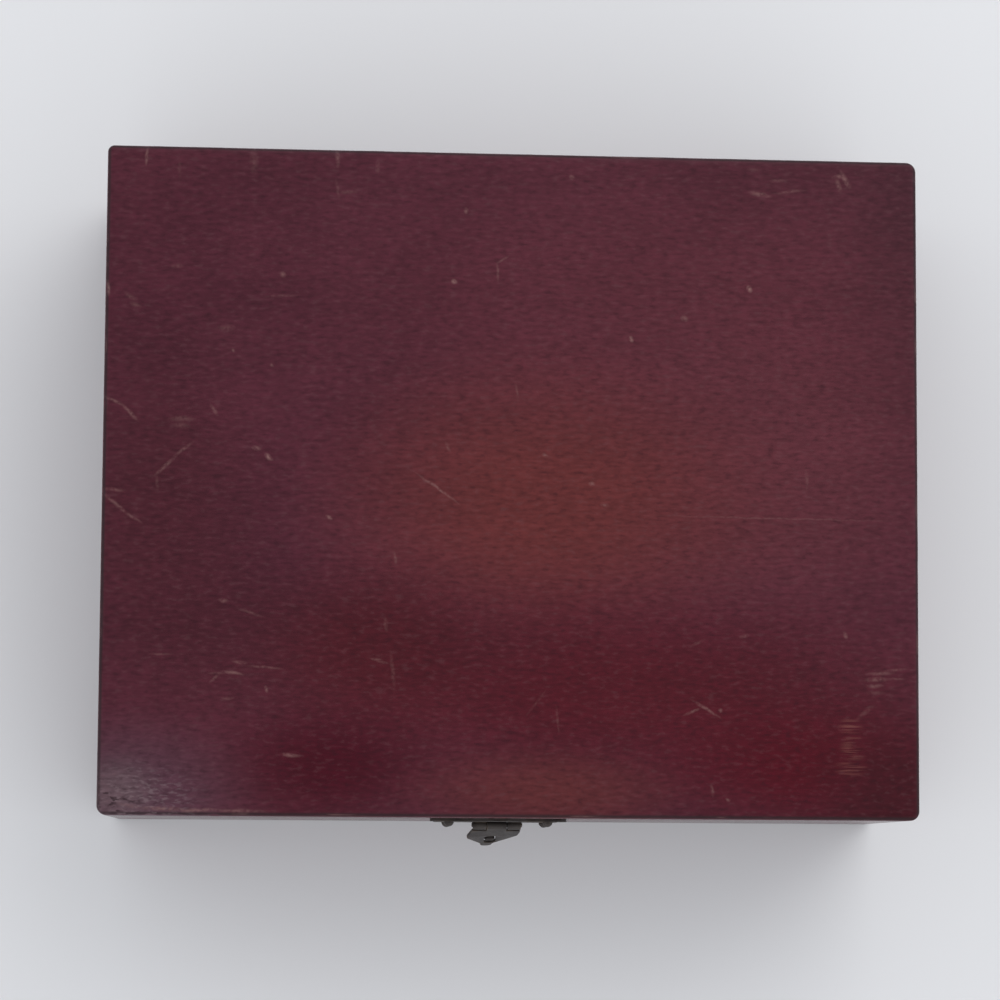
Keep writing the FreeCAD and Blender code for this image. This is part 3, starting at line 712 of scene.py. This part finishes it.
NAIL_HEAD = (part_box("keeper_nails")[1].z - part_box("keeper_nails")[0].z) / 2
NAIL_SHANK = 0.5 * MM
NAIL_TIP = 0.3 * NAIL_SHANK
NAIL_TAPER = 2 * MM
NAIL_CROWN = 0.06 * NAIL_HEAD
HEAD_SIDES = 28
DOME_STEPS = 8
HAMMERED = 0.035 * MM
HAMMER_SCALE = 900
FRONT, BACK = -1, 1
NAILS = {
    "hinge_body_nails": ("case", BACK),
    "hinge_lid_nails": ("lid", BACK),
    "hasp_plate_nails": ("lid", FRONT),
    "keeper_nails": ("case", FRONT),
}


def nail_places(node, way):
    """Where the nails of a group stand (x and z), and how far out their crowns are (y)."""
    points = [vertex.co for vertex in frame["nodes"][node].data.vertices]
    crown = max(co.y * way for co in points) * way
    tips = [co for co in points if abs(co.y - crown) < SAME_POINT]
    return sorted({(round(co.x, 6), round(co.z, 6)) for co in tips}), crown


def domed_nails(node, material):
    body, way = NAILS[node]
    places, crown = nail_places(node, way)
    low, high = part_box(node)
    point = high.y if way == FRONT else low.y
    seat = way * (HALF.y + SHEET)
    shank = [(NAIL_TIP, point), (NAIL_SHANK, point + way * NAIL_TAPER), (NAIL_SHANK, seat)]
    turns = [math.radians(90) * step / DOME_STEPS for step in range(DOME_STEPS)]
    dome = [(NAIL_HEAD * math.cos(a), seat + (crown - seat) * math.sin(a)) for a in turns]
    dome.append((NAIL_CROWN, crown))
    bm = bmesh.new()
    for x, z in places:
        rings = []
        for radius, y in shank + dome:
            sides = [math.tau * side / HEAD_SIDES for side in range(HEAD_SIDES)]
            rings.append([Vector((x + radius * math.cos(a), y, z + radius * math.sin(a))) for a in sides])
        for ring in rings[len(shank) + 1:]:
            for co in ring:
                co.y -= way * HAMMERED * abs(noise.noise(co * HAMMER_SCALE))
        skin(bm, rings)
    new_piece(f"{node}_domed", bm, body, node, material, sharp=50)


# The tongue, twisted a little by use

TONGUE_TWIST = math.radians(3.4)
TWIST_FROM, TWIST_TO = 2.2 * MM, 7 * MM
TONGUE_CUTS = [step * MM for step in range(2, 15)]
SHEET_EASE = 0.1 * MM


def eased_copy(node):
    """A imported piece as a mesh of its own, with its sharp edges eased."""
    bm = bmesh.new()
    bm.from_mesh(frame["nodes"][node].data)
    bmesh.ops.remove_doubles(bm, verts=bm.verts, dist=SAME_POINT)
    bmesh.ops.dissolve_limit(bm, verts=bm.verts, edges=bm.edges, angle_limit=FLAT_WITHIN)
    sharp = [edge for edge in bm.edges if edge.calc_face_angle(0) > SHARP_FROM]
    bmesh.ops.bevel(bm, geom=sharp, offset=SHEET_EASE, segments=EASE_STEPS, affect="EDGES", profile=0.5)
    return bm


def twisted_tongue(material):
    """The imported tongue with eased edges, its left side bent outwards."""
    axis = Vector(JOINTS["hasp_hinge"]["pos_m"])
    lean = math.radians(-JOINTS["hasp_hinge"]["range_deg"][0])
    down = Vector((0, -math.sin(lean), -math.cos(lean)))
    out = Vector((0, -math.cos(lean), math.sin(lean)))
    heart = JOINTS["knob_turn"]["pos_m"][0] - axis.x
    bm = eased_copy("hasp_tongue")
    for cut in TONGUE_CUTS:
        everything = bm.verts[:] + bm.edges[:] + bm.faces[:]
        bmesh.ops.bisect_plane(bm, geom=everything, plane_co=axis + down * cut, plane_no=down, dist=SAME_POINT)
    for vertex in bm.verts:
        offset = vertex.co - axis
        along, across, depth = offset.dot(down), offset.x - heart, offset.dot(out)
        share = min(max((along - TWIST_FROM) / (TWIST_TO - TWIST_FROM), 0), 1)
        twist = TONGUE_TWIST * share * share * (3 - 2 * share)
        turned = Vector((heart + across * math.cos(twist) + depth * math.sin(twist), 0, 0))
        vertex.co = axis + turned + down * along + out * (depth * math.cos(twist) - across * math.sin(twist))
    new_piece("hasp_tongue_twisted", bm, "tongue", "hasp_tongue", material, sharp=35)


# The knob, with a thumb button that widens a little towards its rim

BUTTON_DEEP = 1.3 * MM
BUTTON_RISE = 0.25 * MM
BUTTON_FLARE = 0.1
FLARE_GROWTH = 1.5


def flared_knob(material):
    axis = Vector(JOINTS["knob_turn"]["pos_m"])
    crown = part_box("turn_knob")[0].y
    bm = eased_copy("turn_knob")
    for vertex in bm.verts:
        share = min(max((crown + BUTTON_DEEP - vertex.co.y) / BUTTON_DEEP, 0), 1)
        flare = 1 + BUTTON_FLARE * min(share * FLARE_GROWTH, 1)
        vertex.co.x = axis.x + (vertex.co.x - axis.x) * flare
        vertex.co.z = axis.z + (vertex.co.z - axis.z) * flare
        vertex.co.y -= BUTTON_RISE * share
    new_piece("turn_knob_flared", bm, "knob", "turn_knob", material, sharp=35)


# Put together

BODY_SHELL = (Vector((-HALF.x, -HALF.y, 0)), Vector((HALF.x, HALF.y, SEAM)))
LID_SHELL = (Vector((-HALF.x, -HALF.y, SEAM)), LID_HIGH)
BOARD_EASE = 0.25 * MM

# Boards: grain, the shell whose edges wear, and where in the pattern of the grain each is cut
LID_OFFSET = (4.4, 0.33, 0.6)
BOARDS = {
    "body_front_wall": (GRAIN_ALONG_X, BODY_SHELL, (0.31, 0.12, 0.05)),
    "body_back_wall": (GRAIN_ALONG_X, BODY_SHELL, (0.73, 0.42, 0.15)),
    "body_left_wall": (GRAIN_ALONG_Y, BODY_SHELL, (1.37, 0.22, 0.35)),
    "body_right_wall": (GRAIN_ALONG_Y, BODY_SHELL, (1.91, 0.62, 0.75)),
    "lid_front_rail": (GRAIN_ALONG_X, LID_SHELL, (2.31, 0.92, 0.05)),
    "lid_back_rail": (GRAIN_ALONG_X, LID_SHELL, (2.73, 0.52, 0.45)),
    "lid_left_rail": (GRAIN_ALONG_Y, LID_SHELL, (3.37, 0.72, 0.55)),
    "lid_right_rail": (GRAIN_ALONG_Y, LID_SHELL, (3.91, 0.12, 0.25)),
}
METAL = (
    "hinge_left_body_leaf", "hinge_left_lid_leaf", "hinge_left_pin",
    "hinge_right_body_leaf", "hinge_right_lid_leaf", "hinge_right_pin",
    "hasp_plate", "hasp_pin", "keeper_plate",
)

set_camera()
set_world(HORIZON, ZENITH)
set_floor()
soft_light("key", KEY_SPOT, KEY_WIDTH, KEY_WATTS, LAMPLIGHT)

for board, (along, shell, offset) in BOARDS.items():
    softened(board, stained_wood(f"stained_{board}", along, *shell, offset, WALL_VARNISH), BOARD_EASE)
softened("body_bottom_panel", bare_wood("planed_wood", GRAIN_ALONG_X), BOARD_EASE)
lid_board(stained_wood("stained_lid_top", GRAIN_ALONG_X, *LID_SHELL, LID_OFFSET, LID_VARNISH, lid=True))

bronze = dark_bronze("dark_bronze")
for name in METAL:
    softened(name, bronze, SHEET_EASE)
for name in NAILS:
    domed_nails(name, bronze)
twisted_tongue(bronze)
flared_knob(bronze)

scene.view_settings.view_transform = "Standard"
